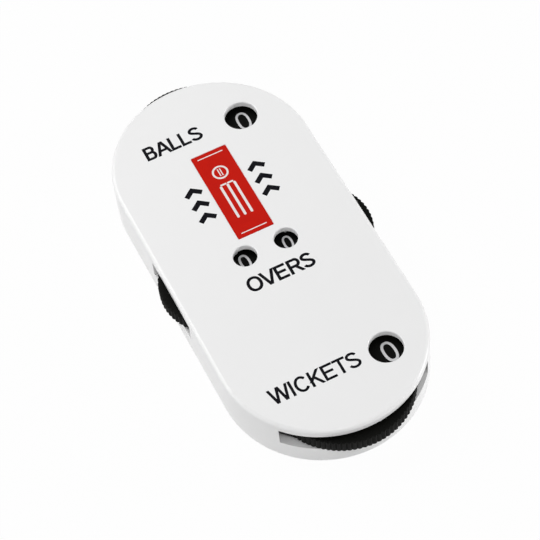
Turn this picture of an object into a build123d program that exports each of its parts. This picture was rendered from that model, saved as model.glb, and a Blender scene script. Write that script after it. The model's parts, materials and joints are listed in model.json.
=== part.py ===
from build123d import *
from math import cos, pi, radians, sin, sqrt, tan
from typing import NamedTuple
import os

# Hand-held umpire counter: a flat case with rounded ends and four knurled number dials.
# It lies on its back with its face up. +Y points to the balls end and +X to the reader's right.
# The origin is the middle of the underside.

# Case
case_length = 89.5
case_width = 42.0
case_height = 11.4
cover_thickness = 1.7
wall_thickness = 1.8
floor_thickness = 1.6
cover_edge_round = 0.8
base_edge_round = 0.8
fit_clearance = 0.1

# Locating lip under the cover, inside the wall of the base, and the shallow hollow that it encloses
cover_hollow_depth = 0.35
lip_thickness = 1.0
lip_depth = 1.4
lip_setback = 1.0

# Thumb slots in the wall, and their room round the dials
slot_floor_gap = 0.65
end_slot_margin = 1.35
side_slot_margin = 0.55

# Dials: how far they reach out of the case, and their room inside it
end_dial_side_gap = 4.65
end_dial_reach = 2.0
side_dial_middle_gap = 1.8
side_dial_reach = 1.8
dial_thickness = 3.1
dial_cover_gap = 0.75
rim_chamfer = 0.3
digit_count = 10

# Knurling round the dial rims
knurl_pitch = 1.03
knurl_depth = 0.3
knurl_land = 0.2

# Windows over the digits, with their centres measured in from the dial rims.
# Those over the end dials also lie a little nearer to the middle of the case than the dial axes.
end_window_radius = 3.44
end_window_inset = 4.55
end_window_shift = 0.4
side_window_radius = 2.45
side_window_inset = 3.6
window_edge_round = 0.25

# Pivots and washers
pivot_radius = 1.5
pivot_head_radius = 2.6
pivot_head_thickness = 0.7
pivot_head_sink = 0.2
pivot_head_clearance = 0.3
pivot_end_chamfer = 0.2
pivot_hole_floor = 0.9
running_clearance = 0.05
post_radius = 3.0
washer_thickness = 0.25
washer_overhang = 0.1

# Click notches under the dials and the leaf springs below them
end_click_inset = 5.9
side_click_inset = 4.5
click_gap = 0.1
notch_round = 1.4
notch_depth = 0.35
track_width = 3.2
notch_overrun = 0.4
hub_margin = 0.4
relief_depth = 0.8
leaf_width = 2.4
leaf_thickness = 0.25
crown_round = 1.2
ramp_angle = 20.0
tail_angle = 30.0
tail_length = 1.0
foot_length = 3.6
leaf_rise = 1.9
pad_margin = 0.4
stake_radius = 0.6
stake_head_radius = 1.0
stake_head_thickness = 0.35

# Case screws, put in from the back, and the bosses that they join
screw_radius = 0.9
screw_head_radius = 1.75
screw_head_thickness = 1.2
screw_point_length = 0.8
screw_end_gap = 0.5
screw_sink = 0.3
drive_width = 0.5
drive_length = 2.2
drive_depth = 0.6
thread_clearance = 0.02
boss_radius = 2.8
boss_drop = 2.8
boss_slot_gap = 2.9

# Label on the face
label_width = 8.0
label_length = 22.7
label_corner = 0.3
label_thickness = 0.12
label_y = 15.35

# Heights and places that follow from the sizes above
parting_height = case_height - cover_thickness
dial_top = parting_height - dial_cover_gap
dial_bottom = dial_top - dial_thickness
inner_half_width = case_width / 2 - wall_thickness
end_dial_radius = inner_half_width - end_dial_side_gap
end_dial_y = case_length / 2 + end_dial_reach - end_dial_radius
side_dial_radius = (case_width / 2 + side_dial_reach - side_dial_middle_gap / 2) / 2
side_dial_x = side_dial_radius + side_dial_middle_gap / 2
slot_floor_height = dial_bottom - slot_floor_gap
end_slot_width = 2 * (end_dial_radius + end_slot_margin)
side_dial_chord = 2 * sqrt(side_dial_radius**2 - (inner_half_width - side_dial_x) ** 2)
side_slot_width = side_dial_chord + 2 * side_slot_margin
end_window_x = end_dial_radius - end_window_inset
end_window_y = end_dial_y - end_window_shift
side_window_x = side_dial_x - side_dial_radius + side_window_inset
post_top = dial_bottom - running_clearance - washer_thickness
pivot_head_bottom = dial_top - pivot_head_sink - pivot_head_thickness
hub_radius = post_radius + washer_overhang + hub_margin
pad_top = dial_bottom - leaf_rise
pad_height = pad_top - floor_thickness
lip_inset = wall_thickness + fit_clearance
hollow_inset = lip_inset + lip_thickness
hollow_top = parting_height + cover_hollow_depth
boss_top = parting_height - boss_drop
boss_height = boss_top - floor_thickness
screw_spacing_x = case_width - 2 * (hollow_inset + fit_clearance + boss_radius)
screw_spacing_y = side_slot_width + 2 * (boss_radius + boss_slot_gap)
screw_head_top = screw_sink + screw_head_thickness
screw_hole_top = parting_height + screw_end_gap
screw_tip = parting_height


class Dial(NamedTuple):
    """One dial: its axis, its sizes, its window and the way from its axis to its click spring."""

    name: str
    x: float
    y: float
    radius: float
    click_radius: float
    click_angle: float
    window_x: float
    window_y: float
    window_radius: float

    def plane(self, height):
        """Horizontal plane on the dial's axis, with its X towards the click spring."""
        angle = radians(self.click_angle)
        return Plane(origin=(self.x, self.y, height), x_dir=(cos(angle), sin(angle), 0))

    def leaf_plane(self):
        """Upright plane through the spring's crown, with its X along the leaf and its Y up."""
        level = self.plane(0)
        crown = level.origin + level.x_dir * self.click_radius
        return Plane(origin=crown, x_dir=level.y_dir, z_dir=level.x_dir)


end_sizes = (end_dial_radius, end_dial_radius - end_click_inset)
side_sizes = (side_dial_radius, side_dial_radius - side_click_inset)
balls_window = (end_window_x, end_window_y, end_window_radius)
tens_window = (-side_window_x, 0, side_window_radius)
units_window = (side_window_x, 0, side_window_radius)
wickets_window = (end_window_x, -end_window_y, end_window_radius)
dials = [
    Dial("balls", 0, end_dial_y, *end_sizes, -90, *balls_window),
    Dial("overs_tens", -side_dial_x, 0, *side_sizes, -90, *tens_window),
    Dial("overs_units", side_dial_x, 0, *side_sizes, 90, *units_window),
    Dial("wickets", 0, -end_dial_y, *end_sizes, 90, *wickets_window),
]
dial_axes = [(dial.x, dial.y) for dial in dials]

# Leaf spring profile: the foot lies on its pad and the crown stands just under the dial
crown_centre = dial_bottom - click_gap - leaf_thickness / 2 - crown_round
foot_level = pad_top + leaf_thickness / 2
ramp_end_x = crown_round * sin(radians(ramp_angle))
ramp_end_y = crown_centre + crown_round * cos(radians(ramp_angle))
foot_start = ramp_end_x + (ramp_end_y - foot_level) / tan(radians(ramp_angle))
foot_end = foot_start + foot_length
foot_middle = (foot_start + foot_end) / 2
tail_start_x = -crown_round * sin(radians(tail_angle))
tail_start_y = crown_centre + crown_round * cos(radians(tail_angle))
tail_end_x = tail_start_x - tail_length * cos(radians(tail_angle))
tail_end_y = tail_start_y - tail_length * sin(radians(tail_angle))


def save(part, name):
    """Label the piece and write it as its own file."""
    part.label = name
    export_step(part, f"parts/{name}.step")


# Base: a tray with notched walls, pivot posts, spring pads and screw bosses
with BuildPart() as base:
    with BuildSketch():
        SlotOverall(case_length, case_width, rotation=90)
    extrude(amount=parting_height)
    fillet(base.faces().sort_by(Axis.Z)[0].edges(), base_edge_round)
    with BuildSketch(Plane.XY.offset(floor_thickness)):
        SlotOverall(case_length - 2 * wall_thickness, case_width - 2 * wall_thickness, rotation=90)
    extrude(amount=parting_height, mode=Mode.SUBTRACT)
    with BuildSketch(Plane.XY.offset(slot_floor_height)):
        Rectangle(end_slot_width, case_length)
        Rectangle(case_width, side_slot_width)
    extrude(amount=parting_height, mode=Mode.SUBTRACT)

    # Posts that carry the dials and their pivots
    with BuildSketch(Plane.XY.offset(floor_thickness)):
        with Locations(*dial_axes):
            Circle(post_radius)
    extrude(amount=post_top - floor_thickness)
    with BuildSketch(Plane.XY.offset(pivot_hole_floor)):
        with Locations(*dial_axes):
            Circle(pivot_radius)
    extrude(amount=post_top, mode=Mode.SUBTRACT)

    # Pads for the click springs, with a staked peg through each spring
    for dial in dials:
        pad_plane = dial.plane(floor_thickness)
        with BuildSketch(pad_plane):
            with Locations((dial.click_radius, foot_middle)):
                Rectangle(leaf_width + 2 * pad_margin, foot_length)
        extrude(amount=pad_height)
        with BuildSketch(pad_plane.offset(pad_height)):
            with Locations((dial.click_radius, foot_middle)):
                Circle(stake_radius)
        extrude(amount=leaf_thickness + fit_clearance)
        with BuildSketch(pad_plane.offset(pad_height + leaf_thickness + fit_clearance)):
            with Locations((dial.click_radius, foot_middle)):
                Circle(stake_head_radius)
        extrude(amount=stake_head_thickness)

    # Screw bosses, open to the back with a seat for each head
    with BuildSketch(Plane.XY.offset(floor_thickness)):
        with GridLocations(screw_spacing_x, screw_spacing_y, 2, 2):
            Circle(boss_radius)
    extrude(amount=boss_height)
    with Locations(Plane.XY.rotated((180, 0, 0))):
        with GridLocations(screw_spacing_x, screw_spacing_y, 2, 2):
            CounterBoreHole(
                radius=screw_radius + fit_clearance,
                counter_bore_radius=screw_head_radius + fit_clearance,
                counter_bore_depth=screw_head_top,
                depth=boss_top,
            )
save(base.part, "base")

# Cover: the face plate with its windows, its locating lip and the bosses that take the screws
with BuildPart() as cover:
    with BuildSketch(Plane.XY.offset(parting_height)):
        SlotOverall(case_length, case_width, rotation=90)
    extrude(amount=cover_thickness)
    fillet(cover.faces().sort_by(Axis.Z)[-1].edges(), cover_edge_round)
    with BuildSketch(Plane.XY.offset(parting_height)):
        SlotOverall(case_length - 2 * hollow_inset, case_width - 2 * hollow_inset, rotation=90)
    extrude(amount=cover_hollow_depth, mode=Mode.SUBTRACT)
    with BuildSketch(Plane.XY.offset(parting_height)):
        SlotOverall(case_length - 2 * lip_inset, case_width - 2 * lip_inset, rotation=90)
        SlotOverall(
            case_length - 2 * hollow_inset,
            case_width - 2 * hollow_inset,
            rotation=90,
            mode=Mode.SUBTRACT,
        )
        Rectangle(end_slot_width + 2 * lip_setback, case_length, mode=Mode.SUBTRACT)
        Rectangle(case_width, side_slot_width + 2 * lip_setback, mode=Mode.SUBTRACT)
    extrude(amount=-lip_depth)
    with BuildSketch(Plane.XY.offset(hollow_top)):
        with GridLocations(screw_spacing_x, screw_spacing_y, 2, 2):
            Circle(boss_radius)
    extrude(amount=boss_top + fit_clearance - hollow_top)
    with BuildSketch(Plane.XY.offset(screw_hole_top)):
        with GridLocations(screw_spacing_x, screw_spacing_y, 2, 2):
            Circle(screw_radius + thread_clearance)
    extrude(amount=-screw_hole_top, mode=Mode.SUBTRACT)
    with BuildSketch(Plane.XY.offset(parting_height)):
        for dial in dials:
            with Locations((dial.window_x, dial.window_y)):
                Circle(dial.window_radius)
    extrude(amount=cover_thickness, mode=Mode.SUBTRACT)
    face = cover.faces().sort_by(Axis.Z)[-1]
    fillet([edge for wire in face.inner_wires() for edge in wire.edges()], window_edge_round)
    with BuildSketch(Plane.XY.offset(case_height)):
        with Locations((0, label_y)):
            RectangleRounded(label_width, label_length, label_corner)
    extrude(amount=-label_thickness, mode=Mode.SUBTRACT)
save(cover.part, "cover")

# Label, set flush in its recess in the cover
with BuildPart() as front_label:
    with BuildSketch(Plane.XY.offset(case_height)):
        with Locations((0, label_y)):
            RectangleRounded(
                label_width - 2 * fit_clearance,
                label_length - 2 * fit_clearance,
                label_corner - fit_clearance,
            )
    extrude(amount=-label_thickness)
save(front_label.part, "front_label")

# Case screws: pan heads with a cross drive, plain shanks and short points
with BuildPart() as case_screws:
    with BuildSketch(Plane.XY.offset(screw_sink)):
        with GridLocations(screw_spacing_x, screw_spacing_y, 2, 2):
            Circle(screw_head_radius)
    extrude(amount=screw_head_thickness)
    with BuildSketch(Plane.XY.offset(screw_head_top)):
        with GridLocations(screw_spacing_x, screw_spacing_y, 2, 2):
            Circle(screw_radius)
    extrude(amount=screw_tip - screw_head_top)
    chamfer(
        case_screws.faces().group_by(Axis.Z)[-1].edges(),
        length=screw_point_length,
        length2=screw_radius / 2,
    )
    with BuildSketch(Plane.XY.offset(screw_sink)):
        with GridLocations(screw_spacing_x, screw_spacing_y, 2, 2):
            Rectangle(drive_length, drive_width)
            Rectangle(drive_width, drive_length)
    extrude(amount=drive_depth, mode=Mode.SUBTRACT)
save(case_screws.part, "case_screws")

# Each dial with its pivot, washer and click spring
for dial in dials:
    groove_count = round(2 * pi * dial.radius / knurl_pitch)
    groove_half_width = (knurl_pitch - knurl_land) / 2
    notch_length = track_width + 2 * notch_overrun
    with BuildPart() as wheel:
        with BuildSketch(dial.plane(dial_bottom)):
            Circle(dial.radius)
        extrude(amount=dial_thickness)
        chamfer(wheel.edges(), rim_chamfer)
        with BuildSketch(dial.plane(dial_bottom)):
            with PolarLocations(dial.radius, groove_count):
                Polygon(
                    (-knurl_depth, 0),
                    (0, -groove_half_width),
                    (knurl_depth, -groove_half_width),
                    (knurl_depth, groove_half_width),
                    (0, groove_half_width),
                    align=None,
                )
        extrude(amount=dial_thickness, mode=Mode.SUBTRACT)
        with Locations(dial.plane(dial_top)):
            CounterBoreHole(
                radius=pivot_radius + running_clearance,
                counter_bore_radius=pivot_head_radius + pivot_head_clearance,
                counter_bore_depth=dial_top - pivot_head_bottom + running_clearance,
                depth=dial_thickness,
            )
        with BuildSketch(dial.plane(dial_bottom)):
            Circle(dial.click_radius - track_width / 2)
            Circle(hub_radius, mode=Mode.SUBTRACT)
        extrude(amount=relief_depth, mode=Mode.SUBTRACT)
        with Locations(dial.plane(dial_bottom + notch_depth - notch_round)):
            with PolarLocations(dial.click_radius, digit_count):
                Cylinder(notch_round, notch_length, rotation=(0, 90, 0), mode=Mode.SUBTRACT)
    save(wheel.part, f"{dial.name}_dial")

    with BuildPart() as pivot:
        with BuildSketch(dial.plane(pivot_hole_floor)):
            Circle(pivot_radius)
        extrude(amount=pivot_head_bottom - pivot_hole_floor)
        chamfer(pivot.faces().sort_by(Axis.Z)[0].edges(), pivot_end_chamfer)
        with BuildSketch(dial.plane(pivot_head_bottom)):
            Circle(pivot_head_radius)
        extrude(amount=pivot_head_thickness)
        chamfer(pivot.faces().sort_by(Axis.Z)[-1].edges(), pivot_end_chamfer)
    save(pivot.part, f"{dial.name}_pivot")

    with BuildPart() as washer:
        with BuildSketch(dial.plane(post_top)):
            Circle(post_radius + washer_overhang)
            Circle(pivot_radius + fit_clearance, mode=Mode.SUBTRACT)
        extrude(amount=washer_thickness)
    save(washer.part, f"{dial.name}_washer")

    with BuildPart() as spring:
        with BuildSketch(dial.leaf_plane()):
            with BuildLine():
                CenterArc(
                    (0, crown_centre),
                    crown_round,
                    90 - ramp_angle,
                    ramp_angle + tail_angle,
                )
                Line((tail_start_x, tail_start_y), (tail_end_x, tail_end_y))
                Polyline((ramp_end_x, ramp_end_y), (foot_start, foot_level), (foot_end, foot_level))
            trace(line_width=leaf_thickness)
        extrude(amount=leaf_width / 2, both=True)
        with BuildSketch(dial.plane(pad_top)):
            with Locations((dial.click_radius, foot_middle)):
                Circle(stake_radius + fit_clearance)
        extrude(amount=leaf_thickness, mode=Mode.SUBTRACT)
    save(spring.part, f"{dial.name}_click_spring")
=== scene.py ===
import json
import math

import bmesh
import bpy
from mathutils import Matrix, Quaternion, Vector
from mathutils.geometry import delaunay_2d_cdt

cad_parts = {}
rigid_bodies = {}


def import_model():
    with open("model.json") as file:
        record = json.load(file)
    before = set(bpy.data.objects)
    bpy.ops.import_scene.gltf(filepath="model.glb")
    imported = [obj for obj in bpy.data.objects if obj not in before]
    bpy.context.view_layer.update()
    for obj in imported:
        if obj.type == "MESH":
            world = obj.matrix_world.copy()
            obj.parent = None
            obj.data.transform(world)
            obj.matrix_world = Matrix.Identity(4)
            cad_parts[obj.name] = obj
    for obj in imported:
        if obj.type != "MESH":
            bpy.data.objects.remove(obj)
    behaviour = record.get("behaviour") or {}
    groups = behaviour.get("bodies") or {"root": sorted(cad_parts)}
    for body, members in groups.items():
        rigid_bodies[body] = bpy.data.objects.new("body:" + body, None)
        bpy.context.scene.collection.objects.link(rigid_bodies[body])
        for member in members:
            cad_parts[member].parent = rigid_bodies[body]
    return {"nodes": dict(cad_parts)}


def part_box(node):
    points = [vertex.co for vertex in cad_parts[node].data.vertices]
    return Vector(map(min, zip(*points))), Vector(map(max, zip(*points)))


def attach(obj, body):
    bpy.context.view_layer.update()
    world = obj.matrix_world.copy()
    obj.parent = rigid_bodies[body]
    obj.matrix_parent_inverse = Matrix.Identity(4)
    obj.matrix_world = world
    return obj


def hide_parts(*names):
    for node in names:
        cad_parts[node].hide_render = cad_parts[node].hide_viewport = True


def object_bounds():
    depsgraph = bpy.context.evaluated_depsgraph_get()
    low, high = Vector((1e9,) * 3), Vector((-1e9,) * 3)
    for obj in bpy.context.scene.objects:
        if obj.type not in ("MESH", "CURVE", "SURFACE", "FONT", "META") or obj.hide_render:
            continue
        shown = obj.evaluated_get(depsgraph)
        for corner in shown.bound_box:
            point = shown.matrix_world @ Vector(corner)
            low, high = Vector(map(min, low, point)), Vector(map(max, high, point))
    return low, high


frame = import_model()
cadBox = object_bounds()
nodes = frame["nodes"]
mm = 0.001  # everything is in metres
print("frame loaded:", len(nodes), "nodes")


# Camera: the picture's view, found from the outline of the case and its windows

cameraSet = {
    "aim": Vector((-0.34, -1.86, 5.7)) * mm,
    "distance": 412.7 * mm,
    "azimuth": -20.51,
    "elevation": 56.38,
    "roll": -6.99,
    "lens": 138.05,
    "clipStart": 10 * mm,
}


def makeCamera(c):
    azimuth = math.radians(c["azimuth"])
    elevation = math.radians(c["elevation"])
    back = Vector((
        math.sin(azimuth) * math.cos(elevation),
        -math.cos(azimuth) * math.cos(elevation),
        math.sin(elevation),
    ))
    data = bpy.data.cameras.new("viewCamera")
    data.lens = c["lens"]
    data.clip_start = c["clipStart"]
    camera = bpy.data.objects.new("viewCamera", data)
    bpy.context.collection.objects.link(camera)
    camera.rotation_mode = "QUATERNION"
    camera.location = c["aim"] + back * c["distance"]
    roll = Quaternion((0, 0, 1), math.radians(c["roll"]))
    camera.rotation_quaternion = (-back).to_track_quat("-Z", "Y") @ roll
    bpy.context.scene.camera = camera


makeCamera(cameraSet)
bpy.context.scene.view_settings.view_transform = "Standard"
print("camera set")


# Node tree helpers

def addNode(tree, kind, settings=None, inputs=None):
    node = tree.nodes.new(kind)
    for key, value in (settings or {}).items():
        setattr(node, key, value)
    for key, value in (inputs or {}).items():
        if isinstance(value, bpy.types.NodeSocket):
            tree.links.new(value, node.inputs[key])
        else:
            node.inputs[key].default_value = value
    return node


def mathNode(tree, operation, first, second=0.0, clamp=False):
    settings = {"operation": operation, "use_clamp": clamp}
    return addNode(tree, "ShaderNodeMath", settings, {0: first, 1: second}).outputs[0]


def mixColours(tree, factor, first, second):
    # Inputs 6 and 7 and output 2 are the sockets that the node keeps for colours
    node = addNode(tree, "ShaderNodeMix", {"data_type": "RGBA"}, {0: factor, 6: first, 7: second})
    return node.outputs[2]


def mixValues(tree, factor, first, second):
    node = addNode(tree, "ShaderNodeMix", {"data_type": "FLOAT"}, {0: factor, 2: first, 3: second})
    return node.outputs[0]


def rangeNode(tree, value, low, high, newLow, newHigh, settings=None):
    limits = {"Value": value, "From Min": low, "From Max": high, "To Min": newLow, "To Max": newHigh}
    return addNode(tree, "ShaderNodeMapRange", settings, limits).outputs["Result"]


def softRange(tree, value, span, newLow, newHigh):
    # As rangeNode, but eased at both ends so that no edge shows where the value is cut off
    eased = {"interpolation_type": "SMOOTHERSTEP"}
    return rangeNode(tree, value, *span, newLow, newHigh, eased)


# Lights, world and floor

lampSet = {
    "keyLamp": {"place": Vector((-240, 320, 430)) * mm, "size": 420 * mm, "power": 1.95},
    "leftLamp": {"place": Vector((-620, 260, 170)) * mm, "size": 200 * mm, "power": 0.35},
    "frontLamp": {"place": Vector((-330, -620, 260)) * mm, "size": 500 * mm, "power": 0.9},
    "topLamp": {"place": Vector((-60, -300, 640)) * mm, "size": 160 * mm, "power": 0.8},
    "rightLamp": {"place": Vector((620, -210, 120)) * mm, "size": 160 * mm, "power": 2.3},
}
studioSet = {
    "worldDiffuse": 0.3,
    "seenWhite": 1.0,
    "floorSize": 3.0,
    "floorGap": 0.02 * mm,
    "floorColour": (0.7, 0.7, 0.7, 1),
    "floorGlow": 0.97,
}


def seenDirectly(tree):
    # 1 for camera, glossy and transmission rays, 0 for the light that falls on things
    path = addNode(tree, "ShaderNodeLightPath")
    glossOrGlass = mathNode(
        tree, "MAXIMUM", path.outputs["Is Glossy Ray"], path.outputs["Is Transmission Ray"])
    return mathNode(tree, "MAXIMUM", path.outputs["Is Camera Ray"], glossOrGlass)


def makeLamp(name, c):
    data = bpy.data.lights.new(name, "AREA")
    data.shape = "DISK"
    data.size = c["size"]
    data.energy = c["power"]
    lamp = bpy.data.objects.new(name, data)
    bpy.context.collection.objects.link(lamp)
    lamp.location = c["place"]
    lamp.rotation_euler = (-c["place"]).to_track_quat("-Z", "Y").to_euler()


def makeWorld(c):
    world = bpy.data.worlds.new("studio")
    bpy.context.scene.world = world
    world.use_nodes = True
    tree = world.node_tree
    shade = tree.nodes["Background"]
    strength = rangeNode(tree, seenDirectly(tree), 0, 1, c["worldDiffuse"], c["seenWhite"])
    tree.links.new(strength, shade.inputs["Strength"])
    shade.inputs["Color"].default_value = (1, 1, 1, 1)


def makeFloor(c):
    mesh = bpy.data.meshes.new("floor")
    half = c["floorSize"] / 2
    level = cadBox[0].z - c["floorGap"]
    corners = [(-half, -half, level), (half, -half, level), (half, half, level), (-half, half, level)]
    mesh.from_pydata(corners, [], [(0, 1, 2, 3)])
    floor = bpy.data.objects.new("floor", mesh)
    bpy.context.collection.objects.link(floor)
    paper = bpy.data.materials.new("floorPaper")
    paper.use_nodes = True
    tree = paper.node_tree
    tree.nodes.clear()
    matt = addNode(tree, "ShaderNodeBsdfDiffuse", None, {"Color": c["floorColour"]})
    glow = addNode(tree, "ShaderNodeEmission", None, {"Color": (1, 1, 1, 1), "Strength": c["seenWhite"]})
    share = mathNode(tree, "MULTIPLY", seenDirectly(tree), c["floorGlow"])
    parts = {0: share, 1: matt.outputs[0], 2: glow.outputs[0]}
    both = addNode(tree, "ShaderNodeMixShader", None, parts)
    addNode(tree, "ShaderNodeOutputMaterial", None, {"Surface": both.outputs[0]})
    mesh.materials.append(paper)


for lampName, lampOwn in lampSet.items():
    makeLamp(lampName, lampOwn)
makeWorld(studioSet)
makeFloor(studioSet)
print("lights and floor set")


# Shader groups that several finishes share

def newGroup(name, kind, inputs, outputs):
    tree = bpy.data.node_groups.new(name, kind)
    for label, socketType, value in inputs:
        socket = tree.interface.new_socket(label, in_out="INPUT", socket_type=socketType)
        if value is not None:
            socket.default_value = value
    for label, socketType in outputs:
        tree.interface.new_socket(label, in_out="OUTPUT", socket_type=socketType)
    return tree, tree.nodes.new("NodeGroupInput"), tree.nodes.new("NodeGroupOutput")


def makeGrainGroup():
    # Fine pits over slow waves, as a mould leaves them
    tree, inside, outside = newGroup("mouldGrain", "ShaderNodeTree", [
        ("Pit Size", "NodeSocketFloat", 0.3 * mm),
        ("Wave Size", "NodeSocketFloat", 6 * mm),
        ("Wave Share", "NodeSocketFloat", 0.3),
    ], [("Height", "NodeSocketFloat"), ("Variation", "NodeSocketFloat")])
    place = addNode(tree, "ShaderNodeTexCoord").outputs["Object"]
    pitScale = mathNode(tree, "DIVIDE", 1.0, inside.outputs["Pit Size"])
    waveScale = mathNode(tree, "DIVIDE", 1.0, inside.outputs["Wave Size"])
    pits = addNode(tree, "ShaderNodeTexNoise", None, {"Vector": place, "Scale": pitScale, "Detail": 3.0})
    waves = addNode(tree, "ShaderNodeTexNoise", None, {"Vector": place, "Scale": waveScale, "Detail": 2.0})
    height = mixValues(tree, inside.outputs["Wave Share"], pits.outputs["Fac"], waves.outputs["Fac"])
    tree.links.new(height, outside.inputs["Height"])
    tree.links.new(waves.outputs["Fac"], outside.inputs["Variation"])
    return tree


# Likeness is how nearly a rounded normal agrees with the real one: 1 on a flat, less at an edge
wearSet = {
    "likenessSpan": (0.985, 0.75),
    "patchSpan": (0.3, 0.75),
    "bevelSamples": 4,
}


def makeWearGroup(c):
    # Mask of rubbed edges, broken up so that it is never an even line
    tree, inside, outside = newGroup("edgeWear", "ShaderNodeTree", [
        ("Edge Width", "NodeSocketFloat", 0.25 * mm),
        ("Patch Size", "NodeSocketFloat", 3 * mm),
        ("Amount", "NodeSocketFloat", 0.5),
    ], [("Mask", "NodeSocketFloat")])
    place = addNode(tree, "ShaderNodeTexCoord").outputs["Object"]
    rounded = addNode(tree, "ShaderNodeBevel", {"samples": c["bevelSamples"]}, {
        "Radius": inside.outputs["Edge Width"]})
    flat = addNode(tree, "ShaderNodeNewGeometry").outputs["Normal"]
    likeness = addNode(tree, "ShaderNodeVectorMath", {"operation": "DOT_PRODUCT"}, {
        0: rounded.outputs[0], 1: flat}).outputs["Value"]
    edge = rangeNode(tree, likeness, *c["likenessSpan"], 0, 1)
    scale = mathNode(tree, "DIVIDE", 1.0, inside.outputs["Patch Size"])
    patches = addNode(tree, "ShaderNodeTexNoise", None, {"Vector": place, "Scale": scale, "Detail": 4.0})
    broken = softRange(tree, patches.outputs["Fac"], c["patchSpan"], 0, 1)
    mask = mathNode(tree, "MULTIPLY", edge, broken)
    worn = mathNode(tree, "MULTIPLY", mask, inside.outputs["Amount"], True)
    tree.links.new(worn, outside.inputs["Mask"])
    return tree


dustSet = {
    "speckSpan": (0.12, 0.04),
    "filmSpan": (0.15, 0.95),
}


def makeDustGroup(c):
    # Small scattered specks over a thin, uneven film
    tree, inside, outside = newGroup("handlingDust", "ShaderNodeTree", [
        ("Speck Size", "NodeSocketFloat", 0.8 * mm),
        ("Film Size", "NodeSocketFloat", 14 * mm),
        ("Amount", "NodeSocketFloat", 0.3),
    ], [("Mask", "NodeSocketFloat")])
    place = addNode(tree, "ShaderNodeTexCoord").outputs["Object"]
    speckScale = mathNode(tree, "DIVIDE", 1.0, inside.outputs["Speck Size"])
    filmScale = mathNode(tree, "DIVIDE", 1.0, inside.outputs["Film Size"])
    cells = addNode(tree, "ShaderNodeTexVoronoi", None, {"Vector": place, "Scale": speckScale})
    specks = softRange(tree, cells.outputs["Distance"], c["speckSpan"], 0, 1)
    film = addNode(tree, "ShaderNodeTexNoise", None, {"Vector": place, "Scale": filmScale, "Detail": 5.0})
    thin = softRange(tree, film.outputs["Fac"], c["filmSpan"], 0, 1)
    both = mathNode(tree, "MULTIPLY", mathNode(tree, "ADD", specks, thin), inside.outputs["Amount"], True)
    tree.links.new(both, outside.inputs["Mask"])
    return tree


markSet = {
    "lineSize": 0.08 * mm,
    "blotchScale": 700.0,
}


def makeMarkGroup(c):
    # Fine tool marks and broad blotches, for washers, springs, pins and screws
    tree, inside, outside = newGroup("toolMarks", "ShaderNodeTree", [
        ("Line Size", "NodeSocketFloat", c["lineSize"]),
        ("Blotch Scale", "NodeSocketFloat", c["blotchScale"]),
    ], [("Height", "NodeSocketFloat"), ("Variation", "NodeSocketFloat")])
    place = addNode(tree, "ShaderNodeTexCoord").outputs["Object"]
    scale = mathNode(tree, "DIVIDE", 1.0, inside.outputs["Line Size"])
    lines = addNode(tree, "ShaderNodeTexNoise", None, {"Vector": place, "Scale": scale, "Detail": 2.0})
    blotches = addNode(tree, "ShaderNodeTexNoise", None, {
        "Vector": place, "Scale": inside.outputs["Blotch Scale"], "Detail": 2.0})
    tree.links.new(lines.outputs["Fac"], outside.inputs["Height"])
    tree.links.new(blotches.outputs["Fac"], outside.inputs["Variation"])
    return tree


grainGroup = makeGrainGroup()
wearGroup = makeWearGroup(wearSet)
dustGroup = makeDustGroup(dustSet)
markGroup = makeMarkGroup(markSet)
print("shader groups made")


# Finishes

def useGroup(tree, group, inputs=None):
    return addNode(tree, "ShaderNodeGroup", {"node_tree": group}, inputs)


def startMaterial(name):
    material = bpy.data.materials.new(name)
    material.use_nodes = True
    tree = material.node_tree
    return material, tree, tree.nodes["Principled BSDF"]


plasticSet = {
    "waveSpan": (0.1, 0.9),
    "dustRoughness": 0.3,
    "bumpDepth": 0.02 * mm,
}


def makePlastic(name, own):
    c = {**plasticSet, **own}
    material, tree, shader = startMaterial(name)
    grain = useGroup(tree, grainGroup, {"Pit Size": c["pitSize"], "Wave Size": c["waveSize"]})
    wear = useGroup(tree, wearGroup, {"Edge Width": c["edgeWidth"], "Amount": c["wear"]})
    dust = useGroup(tree, dustGroup, {"Amount": c["dust"]})
    shift = softRange(tree, grain.outputs["Variation"], c["waveSpan"], 0, 1)
    colour = mixColours(tree, shift, c["colour"], c["colourFar"])
    colour = mixColours(tree, wear.outputs["Mask"], colour, c["wornColour"])
    colour = mixColours(tree, dust.outputs["Mask"], colour, c["dustColour"])
    roughness = softRange(tree, grain.outputs["Variation"], c["waveSpan"], *c["roughness"])
    dulling = mathNode(tree, "MULTIPLY", dust.outputs["Mask"], c["dustRoughness"])
    roughness = mathNode(tree, "ADD", roughness, dulling)
    bump = addNode(tree, "ShaderNodeBump", None, {
        "Height": grain.outputs["Height"], "Strength": c["bump"], "Distance": c["bumpDepth"]})
    tree.links.new(colour, shader.inputs["Base Color"])
    tree.links.new(roughness, shader.inputs["Roughness"])
    tree.links.new(bump.outputs["Normal"], shader.inputs["Normal"])
    shader.inputs["Specular IOR Level"].default_value = c["shine"]
    return material


printSet = {
    "pitSize": 0.12 * mm,
    "waveSize": 1.5 * mm,
    "waveShare": 0.5,
    "waveSpan": (0.2, 0.8),
    "glossSpread": 0.06,
    "bump": 0.15,
    "bumpDepth": 0.01 * mm,
}


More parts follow.
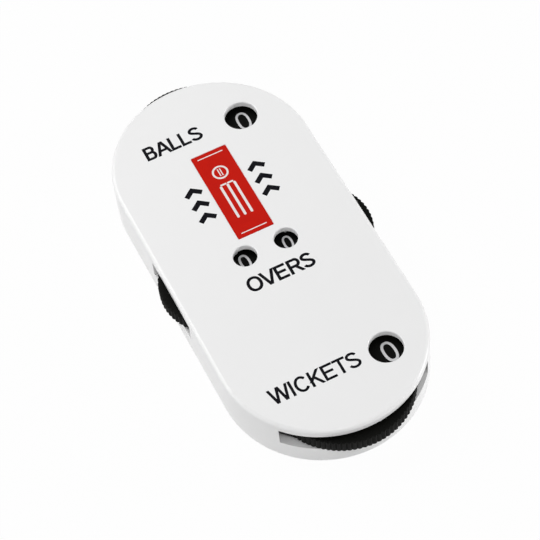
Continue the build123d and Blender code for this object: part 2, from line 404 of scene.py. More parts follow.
def makePrint(name, own):
    # Screen-printed ink: a trace of mottle and a slightly uneven film
    c = {**printSet, **own}
    material, tree, shader = startMaterial(name)
    grain = useGroup(tree, grainGroup, {
        "Pit Size": c["pitSize"], "Wave Size": c["waveSize"], "Wave Share": c["waveShare"]})
    shift = softRange(tree, grain.outputs["Variation"], c["waveSpan"], 0, 1)
    smooth, rough = c["roughness"] - c["glossSpread"], c["roughness"] + c["glossSpread"]
    gloss = softRange(tree, grain.outputs["Height"], c["waveSpan"], smooth, rough)
    bump = addNode(tree, "ShaderNodeBump", None, {
        "Height": grain.outputs["Height"], "Strength": c["bump"], "Distance": c["bumpDepth"]})
    tree.links.new(mixColours(tree, shift, c["colour"], c["colourFar"]), shader.inputs["Base Color"])
    tree.links.new(gloss, shader.inputs["Roughness"])
    tree.links.new(bump.outputs["Normal"], shader.inputs["Normal"])
    shader.inputs["Specular IOR Level"].default_value = c["shine"]
    return material


metalSet = {
    "edgeWidth": 0.1 * mm,
    "wear": 0.6,
    "wornColour": (0.8, 0.79, 0.77, 1),
    "blotchSpan": (0.2, 0.8),
    "bump": 0.2,
    "bumpDepth": 0.01 * mm,
}


def makeMetal(name, own):
    c = {**metalSet, **own}
    material, tree, shader = startMaterial(name)
    marks = useGroup(tree, markGroup)
    wear = useGroup(tree, wearGroup, {"Edge Width": c["edgeWidth"], "Amount": c["wear"]})
    shift = softRange(tree, marks.outputs["Variation"], c["blotchSpan"], 0, 1)
    base = mixColours(tree, shift, c["colour"], c["colourFar"])
    base = mixColours(tree, wear.outputs["Mask"], base, c["wornColour"])
    gloss = softRange(tree, marks.outputs["Variation"], c["blotchSpan"], *c["roughness"])
    bump = addNode(tree, "ShaderNodeBump", None, {
        "Height": marks.outputs["Height"], "Strength": c["bump"], "Distance": c["bumpDepth"]})
    tree.links.new(base, shader.inputs["Base Color"])
    tree.links.new(gloss, shader.inputs["Roughness"])
    tree.links.new(bump.outputs["Normal"], shader.inputs["Normal"])
    shader.inputs["Metallic"].default_value = 1.0
    return material


whitePlastic = makePlastic("whitePlastic", {
    "colour": (0.85, 0.85, 0.85, 1),
    "colourFar": (0.84, 0.84, 0.84, 1),
    "wornColour": (0.80, 0.80, 0.795, 1),
    "dustColour": (0.76, 0.75, 0.74, 1),
    "pitSize": 0.4 * mm,
    "waveSize": 9 * mm,
    "edgeWidth": 0.2 * mm,
    "roughness": (0.27, 0.33),
    "shine": 0.5,
    "wear": 0.15,
    "dust": 0.04,
    "bump": 0.05,
})
blackPlastic = makePlastic("blackPlastic", {
    "colour": (0.0008, 0.0009, 0.0007, 1),
    "colourFar": (0.0016, 0.0017, 0.0013, 1),
    "wornColour": (0.020, 0.020, 0.015, 1),
    "dustColour": (0.016, 0.016, 0.013, 1),
    "pitSize": 0.18 * mm,
    "waveSize": 4 * mm,
    "edgeWidth": 0.12 * mm,
    "roughness": (0.42, 0.55),
    "shine": 0.05,
    "wear": 0.5,
    "dust": 0.1,
    "bump": 0.35,
})
blackInk = makePrint("blackInk", {
    "colour": (0.002, 0.002, 0.004, 1),
    "colourFar": (0.005, 0.005, 0.007, 1),
    "roughness": 0.4,
    "shine": 0.05,
})
digitInk = makePrint("digitInk", {
    "colour": (0.70, 0.70, 0.71, 1),
    "colourFar": (0.64, 0.64, 0.65, 1),
    "roughness": 0.5,
    "shine": 0.3,
})
redPrint = makePrint("redPrint", {
    "colour": (0.54, 0.013, 0.007, 1),
    "colourFar": (0.51, 0.012, 0.007, 1),
    "roughness": 0.35,
    "shine": 0.02,
})
whiteInk = makePrint("whiteInk", {
    "colour": (0.82, 0.78, 0.77, 1),
    "colourFar": (0.76, 0.72, 0.71, 1),
    "roughness": 0.4,
    "shine": 0.3,
})
pinSteel = makeMetal("pinSteel", {
    "colour": (0.56, 0.57, 0.58, 1),
    "colourFar": (0.50, 0.51, 0.52, 1),
    "roughness": (0.22, 0.34),
})
zincSteel = makeMetal("zincSteel", {
    "colour": (0.62, 0.62, 0.60, 1),
    "colourFar": (0.54, 0.55, 0.55, 1),
    "roughness": (0.28, 0.42),
})
springSteel = makeMetal("blueSpringSteel", {
    "colour": (0.30, 0.31, 0.33, 1),
    "colourFar": (0.38, 0.37, 0.36, 1),
    "roughness": (0.25, 0.38),
})
brass = makeMetal("brass", {
    "colour": (0.72, 0.50, 0.20, 1),
    "colourFar": (0.64, 0.43, 0.16, 1),
    "roughness": (0.25, 0.38),
})

finishOf = {
    "case_plastic": whitePlastic,
    "dial_plastic": blackPlastic,
    "label_print": redPrint,
    "screw_steel": zincSteel,
    "pivot_steel": pinSteel,
    "washer_brass": brass,
    "spring_steel": springSteel,
}
for node in nodes.values():
    for materialSlot in node.material_slots:
        materialSlot.material = finishOf[materialSlot.material.name]
print("finishes made")


# Mesh helpers

slack = 0.01 * mm  # margin when a point is told from its neighbours by its place


def makeObject(name, mesh):
    piece = bpy.data.objects.new(name, mesh)
    bpy.context.collection.objects.link(piece)
    return piece


def runNodes(source, tree, inputs):
    # Applies the tree to the source object and gives the result as a plain mesh
    modifier = source.modifiers.new("nodes", "NODES")
    modifier.node_group = tree
    for item in tree.interface.items_tree:
        if item.in_out == "INPUT" and item.name in inputs:
            modifier[item.identifier] = inputs[item.name]
    graph = bpy.context.evaluated_depsgraph_get()
    mesh = bpy.data.meshes.new_from_object(source.evaluated_get(graph))
    source.modifiers.remove(modifier)
    bpy.data.objects.remove(source)
    return mesh


def finishPiece(name, mesh, material, body, sharpAngle=None):
    # A mesh from a node tree brings its material with it
    piece = makeObject(name, mesh)
    if not mesh.materials:
        mesh.materials.append(material)
    if sharpAngle is not None:
        mesh.shade_smooth()
        mesh.set_sharp_from_angle(angle=math.radians(sharpAngle))
    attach(piece, body)
    return piece


# Dials: one cross-section swept round, then grooved at the rim and notched underneath

dialSet = {
    "edgeRound": 0.3 * mm,
    "edgeSteps": 4,
    "rimLand": 1.2 * mm,
    "sharpAngle": 32,  # degrees
    "grooveDepth": 0.3 * mm,
    "groovePitch": 1.03 * mm,
    "landWidth": 0.2 * mm,
    "stepsPerGroove": 8,
    "boreRadius": 1.55 * mm,
    "headRecess": 2.9 * mm,
    "recessDepth": 0.95 * mm,
    "hubRadius": 3.5 * mm,
    "reliefDepth": 0.8 * mm,
    "trackWidth": 3.2 * mm,
    "trackSteps": 4,
    "notchOverrun": 0.4 * mm,
    "notchRound": 1.4 * mm,
    "notchDepth": 0.35 * mm,
    "notchCount": 10,
}
# Window: 1 where it lies on the dial's right, -1 on its left
# Digit stroke: the width of its lines in digit heights
# Rest turn: degrees that the digits sit off the middle of the window, as dials do in their clicks
bigDial = {"clickInset": 5.9 * mm, "window": 1, "digitHeight": 4.7 * mm}
smallDial = {"clickInset": 4.5 * mm, "digitStroke": 0.13}
dials = {
    "balls": {
        **bigDial,
        "digitRing": 10.52 * mm,
        "digitStroke": 0.105,
        "restTurn": -1.4,
    },
    "overs_tens": {
        **smallDial,
        "window": 1,
        "digitRing": 7.25 * mm,
        "digitHeight": 3.75 * mm,
        "restTurn": 1.2,
    },
    "overs_units": {
        **smallDial,
        "window": -1,
        "digitRing": 6.9 * mm,
        "digitHeight": 3.45 * mm,
        "restTurn": -2.2,
    },
    "wickets": {
        **bigDial,
        "digitRing": 10.75 * mm,
        "digitStroke": 0.116,
        "restTurn": 2.4,
    },
}


def fieldNodes(tree):
    # Place of every point: distance from the axis and angle round it, then x, y and z
    place = tree.nodes.new("GeometryNodeInputPosition").outputs[0]
    split = addNode(tree, "ShaderNodeSeparateXYZ", None, {0: place})
    x, y, z = split.outputs
    squares = mathNode(tree, "ADD", mathNode(tree, "MULTIPLY", x, x), mathNode(tree, "MULTIPLY", y, y))
    return mathNode(tree, "SQRT", squares), mathNode(tree, "ARCTAN2", y, x), x, y, z


def placePoints(tree, geometry, x, y, z):
    spot = addNode(tree, "ShaderNodeCombineXYZ", None, {0: x, 1: y, 2: z})
    moved = addNode(tree, "GeometryNodeSetPosition", None, {
        "Geometry": geometry, "Position": spot.outputs[0]})
    return moved.outputs[0]


def stepPhase(tree, angle, count):
    # Distance in steps from the middle of the nearest step, from -0.5 to 0.5
    turns = mathNode(tree, "MULTIPLY", angle, mathNode(tree, "DIVIDE", count, 2 * math.pi))
    return mathNode(tree, "SUBTRACT", turns, mathNode(tree, "ROUND", turns))


def makeDialTree():
    lengths = ["Rim Radius", "Groove Depth", "Groove Width", "Notch Inner", "Notch Outer",
               "Notch Round", "Notch Depth", "Bottom"]
    inputs = [("Geometry", "NodeSocketGeometry", None), ("Material", "NodeSocketMaterial", None)]
    inputs += [(label, "NodeSocketFloat", 0.0) for label in lengths]
    inputs += [(label, "NodeSocketInt", 0) for label in ("Grooves", "Steps", "Notches")]
    tree, inside, outside = newGroup("grooveDial", "GeometryNodeTree", inputs,
                                     [("Geometry", "NodeSocketGeometry")])
    value = inside.outputs
    section = addNode(tree, "GeometryNodeMeshToCurve", None, {"Mesh": value["Geometry"]})
    samples = mathNode(tree, "MULTIPLY", value["Grooves"], value["Steps"])
    rail = addNode(tree, "GeometryNodeCurvePrimitiveCircle", None, {
        "Resolution": samples, "Radius": value["Rim Radius"]})
    sweep = addNode(tree, "GeometryNodeCurveToMesh", None, {
        "Curve": rail.outputs[0], "Profile Curve": section.outputs[0]})

    # Rim grooves: nothing stands further out than the wavy outline
    reach, angle, x, y, z = fieldNodes(tree)
    phase = stepPhase(tree, angle, value["Grooves"])
    girth = mathNode(tree, "MULTIPLY", value["Rim Radius"], 2 * math.pi)
    pitch = mathNode(tree, "DIVIDE", girth, value["Grooves"])
    offset = mathNode(tree, "MULTIPLY", mathNode(tree, "ABSOLUTE", phase), pitch)
    share = mathNode(tree, "DIVIDE", mathNode(tree, "MULTIPLY", offset, 2.0), value["Groove Width"])
    wave = mathNode(tree, "SUBTRACT", 1.0, share, True)
    cut = mathNode(tree, "MULTIPLY", wave, value["Groove Depth"])
    outline = mathNode(tree, "SUBTRACT", value["Rim Radius"], cut)
    kept = mathNode(tree, "MINIMUM", reach, outline)
    ratio = mathNode(tree, "DIVIDE", kept, reach)
    newX = mathNode(tree, "MULTIPLY", x, ratio)
    newY = mathNode(tree, "MULTIPLY", y, ratio)
    grooved = placePoints(tree, sweep.outputs[0], newX, newY, z)

    # Click notches: round-bottomed channels raised into the track from below
    reach, angle, x, y, z = fieldNodes(tree)
    phase = stepPhase(tree, angle, value["Notches"])
    turn = mathNode(tree, "MULTIPLY", phase, mathNode(tree, "DIVIDE", 2 * math.pi, value["Notches"]))
    side = mathNode(tree, "MULTIPLY", mathNode(tree, "SINE", turn), reach)
    inner = mathNode(tree, "SUBTRACT", mathNode(tree, "POWER", value["Notch Round"], 2.0),
                     mathNode(tree, "POWER", mathNode(tree, "ABSOLUTE", side), 2.0))
    arch = mathNode(tree, "SQRT", mathNode(tree, "MAXIMUM", inner, 0.0))
    springLine = mathNode(tree, "SUBTRACT", value["Notch Round"], value["Notch Depth"])
    lift = mathNode(tree, "MAXIMUM", mathNode(tree, "SUBTRACT", arch, springLine), 0.0)
    beyondInner = mathNode(tree, "GREATER_THAN", reach, value["Notch Inner"])
    beforeOuter = mathNode(tree, "LESS_THAN", reach, value["Notch Outer"])
    atBottom = mathNode(tree, "LESS_THAN", z, mathNode(tree, "ADD", value["Bottom"], slack))
    inTrack = mathNode(tree, "MULTIPLY", mathNode(tree, "MULTIPLY", beyondInner, beforeOuter), atBottom)
    height = mathNode(tree, "ADD", z, mathNode(tree, "MULTIPLY", lift, inTrack))
    notched = placePoints(tree, grooved, x, y, height)

    real = addNode(tree, "GeometryNodeRealizeInstances", None, {0: notched})
    painted = addNode(tree, "GeometryNodeSetMaterial", None, {
        "Geometry": real.outputs[0], "Material": value["Material"]})
    tree.links.new(painted.outputs[0], outside.inputs["Geometry"])
    return tree


def roundCorner(centreX, centreZ, size, startAngle, steps):
    # Quarter arc about a centre that lies one radius in from both sides of the corner
    angles = [math.radians(startAngle + 90 * i / steps) for i in range(steps + 1)]
    return [(centreX + size * math.cos(a), centreZ + size * math.sin(a)) for a in angles]


def dialSection(c, rim, bottom, top, trackInner, notchOuter):
    # Closed section from the bore outwards, as distance from the axis and height
    recessFloor = top - c["recessDepth"]
    relief = bottom + c["reliefDepth"]
    size = c["edgeRound"]
    step = (notchOuter - trackInner) / c["trackSteps"]
    track = [(trackInner + step * i, bottom) for i in range(c["trackSteps"] + 1)]
    points = [(c["boreRadius"], bottom), (c["hubRadius"], bottom), (c["hubRadius"], relief)]
    points += [(trackInner, relief), *track, (notchOuter + 2 * slack, bottom)]
    points += roundCorner(rim - size, bottom + size, size, -90, c["edgeSteps"])
    points += roundCorner(rim - size, top - size, size, 0, c["edgeSteps"])
    points += [(rim - c["rimLand"], top), (c["headRecess"], top), (c["headRecess"], recessFloor)]
    points += [(c["boreRadius"], recessFloor)]
    return points


def makeDial(name, c, own, tree):
    low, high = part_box(name + "_dial")
    centre = (low + high) / 2
    rim = (high.x - low.x) / 2
    notchMiddle = rim - own["clickInset"]
    trackInner = notchMiddle - c["trackWidth"] / 2
    notchOuter = notchMiddle + c["trackWidth"] / 2 + c["notchOverrun"]
    section = dialSection(c, rim, low.z, high.z, trackInner, notchOuter)
    # The sweep runs on the rim circle and takes its section's second axis downwards
    outline = bpy.data.meshes.new("dialSection")
    count = len(section)
    edges = [(i, (i + 1) % count) for i in range(count)]
    outline.from_pydata([(r - rim, -z, 0) for r, z in section], edges, [])
    mesh = runNodes(makeObject("dialSection", outline), tree, {
        "Material": blackPlastic,
        "Rim Radius": rim,
        "Groove Depth": c["grooveDepth"],
        "Groove Width": c["groovePitch"] - c["landWidth"],
        "Grooves": round(2 * math.pi * rim / c["groovePitch"]),
        "Steps": c["stepsPerGroove"],
        "Notches": c["notchCount"],
        "Notch Inner": trackInner - slack,
        "Notch Outer": notchOuter + slack,
        "Notch Round": c["notchRound"],
        "Notch Depth": c["notchDepth"],
        "Bottom": low.z,
    })
    mesh.transform(Matrix.Translation((centre.x, centre.y, 0)))
    dial = finishPiece(name + "_knob", mesh, blackPlastic, name + "_dial", c["sharpAngle"])
    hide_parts(name + "_dial")
    return centre, high.z


# Glyphs: strokes of one width, in cap heights, set flat and joined into one outline

glyphSet = {
    "sameSpot": 0.002,  # points nearer than this are one point of a path
    "sameEnd": 0.01,  # a path closes where its ends are nearer than this
    "mitreLimit": 0.5,  # a sharp corner reaches out by half a stroke over this at most
    "joinKind": 1,  # fills the outlines with triangles and keeps nothing outside them
    "weldDistance": 1e-7,
}


def bar(x0, y0, x1, y1, half):
    # Straight stroke; a sloping or upright one has level ends
    if y0 == y1:
        return [[(x0, y0 - half), (x1, y0 - half), (x1, y0 + half), (x0, y0 + half)]]
    reach = half * math.hypot(x1 - x0, y1 - y0) / abs(y1 - y0)
    return [[(x0 - reach, y0), (x0 + reach, y0), (x1 + reach, y1), (x1 - reach, y1)]]


def arc(cx, cy, rx, ry, start, end, fullness=2.0, steps=24):
    # Points on an ellipse; fullness above 2 squares its shoulders
    points = []
    for i in range(steps + 1):
        a = math.radians(start + (end - start) * i / steps)
        c, s = math.cos(a), math.sin(a)
        x = math.copysign(abs(c) ** (2 / fullness), c)
        y = math.copysign(abs(s) ** (2 / fullness), s)
        points.append((cx + rx * x, cy + ry * y))
    return points


def bend(p0, p1, p2, p3, steps=14):
    # Points on a cubic curve, without its first point
    points = []
    for i in range(1, steps + 1):
        t = i / steps
        a, b, c, d = (1 - t) ** 3, 3 * t * (1 - t) ** 2, 3 * t * t * (1 - t), t ** 3
        points.append(tuple(a * p0[k] + b * p1[k] + c * p2[k] + d * p3[k] for k in (0, 1)))
    return points


def band(points, half):
    # Quads along a path, mitred at its points
    path = [Vector(points[0])]
    for point in points[1:]:
        if (Vector(point) - path[-1]).length > glyphSet["sameSpot"]:
            path.append(Vector(point))
    closed = (path[0] - path[-1]).length < glyphSet["sameEnd"]
    if closed:
        path.pop()
    count = len(path)
    sides = []
    for i, point in enumerate(path):
        before = path[(i - 1) % count] if closed or i else point
        after = path[(i + 1) % count] if closed or i < count - 1 else point
        into = (point - before).normalized() if point != before else (after - point).normalized()
        outOf = (after - point).normalized() if after != point else into
        normal = (into + outOf).normalized().orthogonal()
        stretch = max(normal.dot(into.orthogonal()), glyphSet["mitreLimit"])
        sides.append((point + normal * half / stretch, point - normal * half / stretch))
    last = count if closed else count - 1
    pairs = [(sides[i], sides[(i + 1) % count]) for i in range(last)]
    return [[a[1], b[1], b[0], a[0]] for a, b in pairs]


def sWeave(w, h):
    # The double bend of an S, from its upper right end to its lower left end
    top = arc(0.48 * w, 0.735, 0.46 * w - h, 0.275 - h, 14, 180)
    foot = arc(0.5 * w, 0.275, 0.5 * w - h, 0.285 - h, 0, -168)
    middle = bend(top[-1], (top[-1][0], 0.545), (foot[0][0], 0.50), foot[0])
    return band(top + middle + foot, h)


def letterShapes(h):
    # Each letter: gap before it, width to the next letter's place, and its strokes
    lowBowl = [(h, 0.535), *arc(0.42, 0.2675 + h / 2, 0.24 - h, 0.2675 - h / 2, 90, -90), (h, h)]
    highBowl = [(h, 1 - h), *arc(0.4, 0.7675 - h / 2, 0.225 - h, 0.2325 - h / 2, 90, -90)]
    highBowl += [(h, 0.535)]
    legBowl = [(h, 1 - h), *arc(0.47, 0.735 - h / 2, 0.27 - h, 0.265 - h / 2, 90, -90)]
    legBowl += [(h, 0.47)]
    openC = arc(0.4, 0.5, 0.4 - h, 0.512 - h, 38, 322)
    roundO = arc(0.434, 0.5, 0.434 - h, 0.512 - h, 0, 360, fullness=2.15, steps=48)
    return {
        "A": (0.0, 0.848, bar(0.065, 0, 0.395, 1, h) + bar(0.765, 0, 0.435, 1, h)
              + bar(0.17, 0.345, 0.66, 0.345, h)),
        "B": (0.093, 0.848, bar(h, 0, h, 1, h) + band(lowBowl, h) + band(highBowl, h)),
        "C": (0.064, 0.917, band(openC, h)),
        "E": (0.10, 0.848, bar(h, 0, h, 1, h) + bar(h, h, 0.665, h, h)
              + bar(h, 0.52, 0.615, 0.52, h) + bar(h, 1 - h, 0.67, 1 - h, h)),
        "I": (0.118, 0.353, bar(h, 0, h, 1, h)),
        "K": (0.093, 0.848, bar(h, 0, h, 1, h) + bar(0.63, 1, 0.02, 0.31, h)
              + bar(0.65, 0, 0.26, 0.6, h)),
        "L": (0.093, 0.707, bar(h, 0, h, 1, h) + bar(h, h, 0.57, h, h)),
        "O": (0.061, 0.989, band(roundO, h)),
        "R": (0.10, 0.917, bar(h, 0, h, 1, h) + band(legBowl, h) + bar(0.41, 0.47, 0.72, 0, h)),
        "S": (0.057, 0.848, sWeave(0.715, h)),
        "T": (0.029, 0.776, bar(0, 1 - h, 0.717, 1 - h, h) + bar(0.3585, 0, 0.3585, 1, h)),
        "V": (0.005, 0.848, bar(0.065, 1, 0.405, 0, h) + bar(0.775, 1, 0.43, 0, h)),
        "W": (0.011, 1.199, bar(0.06, 1, 0.302, 0, h) + bar(0.322, 0, 0.552, 1, h)
              + bar(0.578, 1, 0.808, 0, h) + bar(0.828, 0, 1.069, 1, h)),
    }


def digitShapes(w, h):
    # The digits 0 to 9, all of one width and centred on their middle
    ringPath = arc(w / 2, 0.5, w / 2 - h, 0.5 - h, 0, 360, fullness=2.4, steps=48)
    two = arc(w / 2, 0.7, w / 2 - h, 0.3 - h, 168, 0)
    two += bend(two[-1], (w - h, 0.5), (0.3 * w, 0.36), (h * 1.3, h * 1.2))
    upperThree = arc(0.47 * w, 0.75, 0.45 * w - h, 0.25 - h, 160, -90)
    lowerThree = arc(0.5 * w, 0.285, 0.5 * w - h, 0.285 - h, 90, -165)
    five = arc(0.5 * w, 0.33, 0.5 * w - h, 0.33 - h, 128, -165)
    sixBack = arc(0.52 * w, 0.5, 0.52 * w - h, 0.5 - h, 38, 200, fullness=2.3)
    sixBowl = arc(w / 2, 0.32, w / 2 - h, 0.32 - h, 0, 360, fullness=2.1, steps=40)
    six = band(sixBowl, h) + band(sixBack, h)
    upperEight = arc(w / 2, 0.745, 0.44 * w - h, 0.255 - h, 0, 360, steps=36)
    lowerEight = arc(w / 2, 0.285, 0.5 * w - h, 0.285 - h, 0, 360, steps=40)
    nine = [[(w - x, 1 - y) for x, y in quad] for quad in six]
    shapes = [
        band(ringPath, h),
        bar(0.62 * w, 0, 0.62 * w, 1, h) + band([(0.18 * w, 0.74), (0.62 * w, 0.96)], h * 0.9),
        band(two, h) + bar(0.0, h, w, h, h),
        band(upperThree, h) + band(lowerThree, h) + bar(0.36 * w, 0.535, 0.56 * w, 0.535, h),
        bar(0.72 * w, 0, 0.72 * w, 1, h) + bar(0.68 * w, 1, 0.07 * w, 0.32, h) + bar(0, 0.3, w, 0.3, h),
        bar(0.15 * w, 1 - h, 0.94 * w, 1 - h, h) + bar(0.25 * w, 1, 0.17 * w, 0.46, h) + band(five, h),
        six,
        bar(0, 1 - h, w, 1 - h, h) + bar(0.88 * w, 1 - h, 0.33 * w, 0, h),
        band(upperEight, h) + band(lowerEight, h),
        nine,
    ]
    return [[[(x - w / 2, y - 0.5) for x, y in quad] for quad in shape] for shape in shapes]


def flatPrism(shapes, low, high):
    # Joins overlapping flat shapes into one outline and gives it a thickness
    points, faces = [], []
    for shape in shapes:
        corners = [Vector(p) for p in shape]
        if (corners[2] - corners[0]).cross(corners[3] - corners[1]) < 0:
            corners.reverse()
        faces.append(tuple(range(len(points), len(points) + len(corners))))
        points += corners
    joined = delaunay_2d_cdt(points, [], faces, glyphSet["joinKind"], glyphSet["weldDistance"])
    spots, _, cells, _, _, sources = joined
    flat = [cell for cell, source in zip(cells, sources) if source]
    mesh = bmesh.new()
    rows = [[mesh.verts.new((spot.x, spot.y, z)) for spot in spots] for z in (low, high)]
    edges = {(face[i], face[(i + 1) % len(face)]) for face in flat for i in range(len(face))}
    for face in flat:
        mesh.faces.new([rows[1][i] for i in face])
        mesh.faces.new([rows[0][i] for i in reversed(face)])
    for a, b in edges:
        if (b, a) not in edges:
            mesh.faces.new([rows[0][a], rows[0][b], rows[1][b], rows[1][a]])
    loose = [v for v in mesh.verts if not v.link_faces]
    bmesh.ops.delete(mesh, geom=loose, context="VERTS")
    result = bpy.data.meshes.new("flatPrism")
    mesh.to_mesh(result)
    mesh.free()
    return result


# Digits: ten of them printed round each dial, 0 in the window at rest

digitSet = {
    "width": 0.6,
    "thickness": 0.02 * mm,
    "sink": 0.02 * mm,
    "count": 10,
}


def makeDigitTree():
    inputs = [("Geometry", "NodeSocketGeometry", None), ("Material", "NodeSocketMaterial", None),
              ("Digits", "NodeSocketCollection", None), ("Count", "NodeSocketInt", 10),
              ("Ring Radius", "NodeSocketFloat", 10 * mm), ("Size", "NodeSocketFloat", 4 * mm),
              ("Level", "NodeSocketFloat", 0.0)]
    tree, inside, outside = newGroup("digitRing", "GeometryNodeTree", inputs,
                                     [("Geometry", "NodeSocketGeometry")])
    value = inside.outputs
    index = tree.nodes.new("GeometryNodeInputIndex").outputs[0]
    step = mathNode(tree, "DIVIDE", -2 * math.pi, value["Count"])
    angle = mathNode(tree, "MULTIPLY", index, step)
    x = mathNode(tree, "MULTIPLY", mathNode(tree, "COSINE", angle), value["Ring Radius"])
    y = mathNode(tree, "MULTIPLY", mathNode(tree, "SINE", angle), value["Ring Radius"])
    spot = addNode(tree, "ShaderNodeCombineXYZ", None, {0: x, 1: y, 2: value["Level"]})
    points = addNode(tree, "GeometryNodePoints", None, {
        "Count": value["Count"], "Position": spot.outputs[0]})
    digits = addNode(tree, "GeometryNodeCollectionInfo", None, {
        "Collection": value["Digits"], "Separate Children": True, "Reset Children": True})
    turn = addNode(tree, "ShaderNodeCombineXYZ", None, {2: angle})
    size = addNode(tree, "ShaderNodeCombineXYZ", None, {0: value["Size"], 1: value["Size"], 2: 1.0})
    ring = addNode(tree, "GeometryNodeInstanceOnPoints", None, {
        "Points": points.outputs[0], "Instance": digits.outputs[0], "Pick Instance": True,
        "Rotation": turn.outputs[0], "Scale": size.outputs[0]})
    real = addNode(tree, "GeometryNodeRealizeInstances", None, {0: ring.outputs[0]})
    painted = addNode(tree, "GeometryNodeSetMaterial", None, {
        "Geometry": real.outputs[0], "Material": value["Material"]})
    tree.links.new(painted.outputs[0], outside.inputs["Geometry"])
    return tree


def makeDigitCollection(c, stroke):
    holder = bpy.data.collections.new("digitShapes")
    for number, quads in enumerate(digitShapes(c["width"], stroke / 2)):
        shape = bpy.data.objects.new("digit" + str(number), flatPrism(quads, -c["sink"], c["thickness"]))
        holder.objects.link(shape)
    return holder


def makeDigits(name, c, own, centre, level, tree):
    holder = makeDigitCollection(c, own["digitStroke"])
    source = makeObject("digitSource", bpy.data.meshes.new("digitSource"))
    mesh = runNodes(source, tree, {
        "Material": digitInk,
        "Digits": holder,
        "Count": c["count"],
        "Ring Radius": own["digitRing"] * own["window"],
        "Size": own["digitHeight"],
        "Level": level,
    })
    for shape in list(holder.objects):
        bpy.data.objects.remove(shape)
    bpy.data.collections.remove(holder)
    restTurn = Matrix.Rotation(math.radians(own["restTurn"]), 4, "Z")
    mesh.transform(Matrix.Translation((centre.x, centre.y, 0)) @ restTurn)
    finishPiece(name + "_digits", mesh, digitInk, name + "_dial")


dialTree = makeDialTree()
digitTree = makeDigitTree()
for dialName, dialOwn in dials.items():
    dialCentre, dialTop = makeDial(dialName, dialSet, dialOwn, dialTree)
    makeDigits(dialName, digitSet, dialOwn, dialCentre, dialTop, digitTree)
print("dials and digits made")


# Flat prints on the face, and the captions

inkSet = {
    "thickness": 0.01 * mm,
    "sink": 0.02 * mm,
}
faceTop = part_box("cover")[1].z


def printFlat(name, shapes, material):
    # Flat ink on the face, sunk a little so that no gap shows under it
    mesh = flatPrism(shapes, faceTop - inkSet["sink"], faceTop + inkSet["thickness"])
    finishPiece(name, mesh, material, "case")


# Stroke: the width of the letters' lines in cap heights
captionSet = {
    "capHeight": 3.5 * mm,
    "spacing": 3.28 * mm,
    "letterWidth": 3.65 * mm,
    "leftShift": 0.13 * mm,
    "captions": {
        "balls": {"text": "BALLS", "left": -11.88 * mm, "baseline": 30.33 * mm, "stroke": 0.175},
        "overs": {"text": "OVERS", "left": -7.34 * mm, "baseline": -8.6 * mm, "stroke": 0.175},
        "wickets": {"text": "WICKETS", "left": -14.47 * mm, "baseline": -33.2 * mm, "stroke": 0.155},
    },
}


def makeCaption(name, c, own):
    letters = letterShapes(own["stroke"] / 2)
    width, height = c["letterWidth"], c["capHeight"]
    quads = []
    pen = own["left"] - c["leftShift"]
    for letter in own["text"]:
        gap, advance, shape = letters[letter]
        start = pen + gap * c["spacing"]
        quads += [[(start + x * width, own["baseline"] + y * height) for x, y in quad] for quad in shape]
        pen += advance * c["spacing"]
    printFlat("caption_" + name, quads, blackInk)


for captionName, captionOwn in captionSet["captions"].items():
    makeCaption(captionName, captionSet, captionOwn)
print("captions made")


# Label prints: stumps, bails and a ball on the red card, and three chevrons at each side of it

# The drawing's own sizes are in millimetres from the middle of the card
labelSet = {
    "stumpGap": 1.5,
    "stumpHalfWidth": 0.27,
    "stumpHalfLength": 4.3,
    "stumpsMiddle": -2.2,
    "bailHalfWidth": 0.2,
    "ballRadius": 1.5,
    "ballMiddle": 5.4,
    "seamGap": 0.5,
    "seamHalfLength": 0.95,
    "thinHalfWidth": 0.11,
    "ruleHalfLength": 2.8,
    "ruleMargin": 1.0,
    "chevronOut": 7.05,
    "chevronHalfWidth": 1.7,
    "chevronRise": 1.3,
    "chevronHalfStroke": 0.55,
    "chevronGap": 3.4,
}


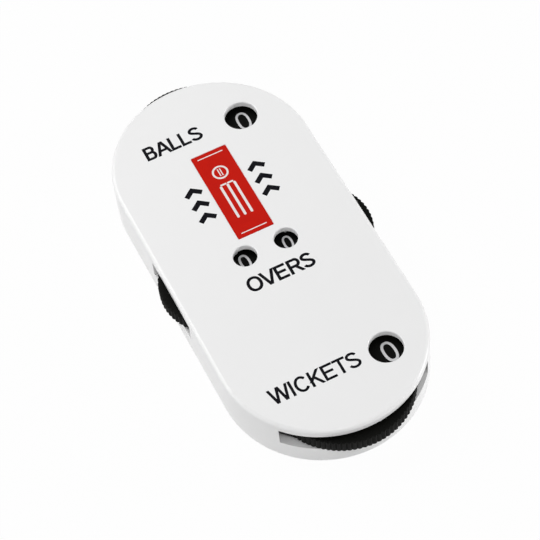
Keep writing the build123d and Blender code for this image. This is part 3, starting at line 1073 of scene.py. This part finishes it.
def roundedBar(cx, cy, halfWidth, halfLength):
    # Upright bar with half-round ends, as one outline
    upper = arc(cx, cy + halfLength - halfWidth, halfWidth, halfWidth, 0, 180)
    return [upper + arc(cx, cy - halfLength + halfWidth, halfWidth, halfWidth, 180, 360)]


def emblemShapes(c, cardHalfLength):
    shapes = []
    for side in (-1, 0, 1):
        stumpX = side * c["stumpGap"]
        shapes += roundedBar(stumpX, c["stumpsMiddle"], c["stumpHalfWidth"], c["stumpHalfLength"])
    bailY = c["stumpsMiddle"] + c["stumpHalfLength"] + c["bailHalfWidth"]
    bailReach = (c["stumpGap"] - c["bailHalfWidth"]) / 2
    for side in (-1, 1):
        bailX = side * c["stumpGap"] / 2
        shapes += bar(bailX - bailReach, bailY, bailX + bailReach, bailY, c["bailHalfWidth"])
        seamX = side * c["seamGap"] / 2
        low, high = c["ballMiddle"] - c["seamHalfLength"], c["ballMiddle"] + c["seamHalfLength"]
        shapes += bar(seamX, low, seamX, high, c["thinHalfWidth"])
        ruleY = side * (cardHalfLength - c["ruleMargin"])
        shapes += bar(-c["ruleHalfLength"], ruleY, c["ruleHalfLength"], ruleY, c["thinHalfWidth"])
    ball = arc(0, c["ballMiddle"], c["ballRadius"], c["ballRadius"], 0, 360, steps=40)
    return shapes + band(ball, c["bailHalfWidth"])


def chevronShapes(c):
    width, rise = c["chevronHalfWidth"], c["chevronRise"]
    shapes = []
    for side in (-1, 1):
        for row in (-1, 0, 1):
            x, y = side * c["chevronOut"], row * c["chevronGap"]
            shapes += band([(x - width, y - rise / 2), (x, y + rise / 2), (x + width, y - rise / 2)],
                           c["chevronHalfStroke"])
    return shapes


def onCard(shapes, centre):
    # From the drawing's millimetres to the card's place on the face
    return [[(centre.x + x * mm, centre.y + y * mm) for x, y in shape] for shape in shapes]


cardLow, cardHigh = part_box("front_label")
cardMiddle = (cardLow + cardHigh) / 2
emblem = emblemShapes(labelSet, (cardHigh.y - cardLow.y) / 2 / mm)
printFlat("label_emblem", onCard(emblem, cardMiddle), whiteInk)
printFlat("label_chevrons", onCard(chevronShapes(labelSet), cardMiddle), blackInk)
print("label prints made")
